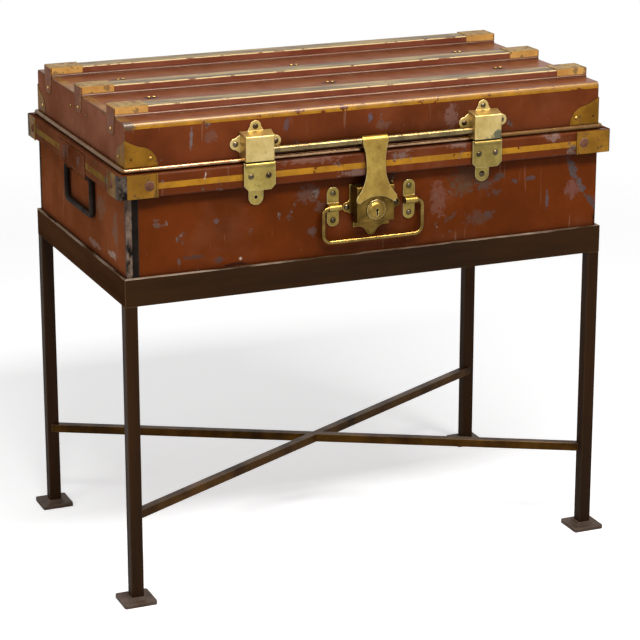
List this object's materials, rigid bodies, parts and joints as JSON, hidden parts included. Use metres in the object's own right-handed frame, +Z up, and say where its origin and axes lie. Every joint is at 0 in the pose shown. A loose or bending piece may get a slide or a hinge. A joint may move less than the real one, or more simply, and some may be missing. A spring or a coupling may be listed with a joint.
{
  "type": "ship trunk",
  "caption": "Sheet-steel ship trunk with battened hinged lid, brass catches on a turning rod, hasp and lock, and bail handles, resting in an angle-iron tray stand on tall legs",
  "frame": {"origin": "on the floor under the centre of the stand", "axes": "+X to the right along the front, +Y from the front to the back, +Z up"},
  "size_m": [0.805, 0.4775, 0.7435],
  "materials": {
    "stand_bronze": "dark bronze paint, rubbed on the edges",
    "stretcher_bronze": "thin bronze paint, brushed",
    "shell_enamel": "worn red-brown enamel",
    "ochre_enamel": "worn ochre enamel",
    "batten_wood": "worn varnish",
    "gilt_bead": "rubbed gilt",
    "pale_brass": "dull patina",
    "dark_brass": "dark patina",
    "black_iron": "worn black paint",
    "rivet_steel": "dull, darkened"
  },
  "bodies": {
    "stand": {"back_left_leg": "stand_bronze", "back_left_stretcher": "stretcher_bronze", "back_rail": "stand_bronze", "back_right_leg": "stand_bronze", "foot_plates": "stand_bronze", "front_left_leg": "stand_bronze", "front_rail": "stand_bronze", "front_right_leg": "stand_bronze", "front_right_stretcher": "stretcher_bronze", "left_rail": "stand_bronze", "right_rail": "stand_bronze", "through_stretcher": "stretcher_bronze"},
    "trunk": {"back_band": "shell_enamel", "band_corner_straps": "ochre_enamel", "band_nails": "rivet_steel", "body_left_end": "shell_enamel", "body_right_end": "shell_enamel", "body_rivets": "rivet_steel", "body_wrapper": "shell_enamel", "corner_irons": "black_iron", "front_band": "shell_enamel", "hinge_body_leaves": "black_iron", "hinge_pins": "rivet_steel", "key_pin": "rivet_steel", "keyhole_boss": "pale_brass", "left_bail_saddle": "pale_brass", "left_band": "shell_enamel", "left_handle_plate": "shell_enamel", "left_striker": "pale_brass", "lock_case": "dark_brass", "lock_plate": "dark_brass", "right_bail_saddle": "pale_brass", "right_band": "shell_enamel", "right_handle_plate": "shell_enamel", "right_striker": "pale_brass"},
    "lid": {"lid_wrapper": "shell_enamel", "lid_left_end": "shell_enamel", "lid_right_end": "shell_enamel", "lid_edge_bead": "gilt_bead", "front_batten": "batten_wood", "middle_batten": "batten_wood", "rear_batten": "batten_wood", "left_batten_caps": "ochre_enamel", "right_batten_caps": "ochre_enamel", "lid_corner_plates": "ochre_enamel", "lid_studs": "rivet_steel", "hood_rivets": "rivet_steel", "left_catch_hood": "pale_brass", "right_catch_hood": "pale_brass", "hinge_lid_leaves": "black_iron"},
    "hasp": {"hasp_plate": "pale_brass", "hasp_staple": "pale_brass", "turning_rod": "dark_brass", "left_hook": "rivet_steel", "right_hook": "rivet_steel"},
    "lock_bolt": {"lock_bolt": "rivet_steel"},
    "front_bail": {"front_bail": "pale_brass"},
    "left_handle": {"left_side_handle": "black_iron"},
    "right_handle": {"right_side_handle": "black_iron"}
  },
  "joints": [
    {"name": "trunk_lift", "type": "slide", "parent": "stand", "child": "trunk", "axis": [0, 0, 1], "range_m": [0, 0.1]},
    {"name": "lid_hinge", "type": "hinge", "parent": "trunk", "child": "lid", "pos_m": [0, 0.2335, 0.656], "axis": [-1, 0, 0], "range_deg": [0, 100]},
    {"name": "hasp_turn", "type": "hinge", "parent": "lid", "child": "hasp", "pos_m": [0, -0.2248, 0.6735], "axis": [-1, 0, 0], "range_deg": [0, 100]},
    {"name": "lock_bolt_slide", "type": "slide", "parent": "trunk", "child": "lock_bolt", "axis": [1, 0, 0], "range_m": [0, 0.012]},
    {"name": "bail_swing", "type": "hinge", "parent": "trunk", "child": "front_bail", "pos_m": [0, -0.224, 0.576], "axis": [-1, 0, 0], "range_deg": [0, 100]},
    {"name": "left_handle_swing", "type": "hinge", "parent": "trunk", "child": "left_handle", "pos_m": [-0.38632, -0.008, 0.61514], "axis": [0, 1, 0], "range_deg": [0, 85]},
    {"name": "right_handle_swing", "type": "hinge", "parent": "trunk", "child": "right_handle", "pos_m": [0.38632, -0.008, 0.61514], "axis": [0, -1, 0], "range_deg": [0, 85]}
  ]
}
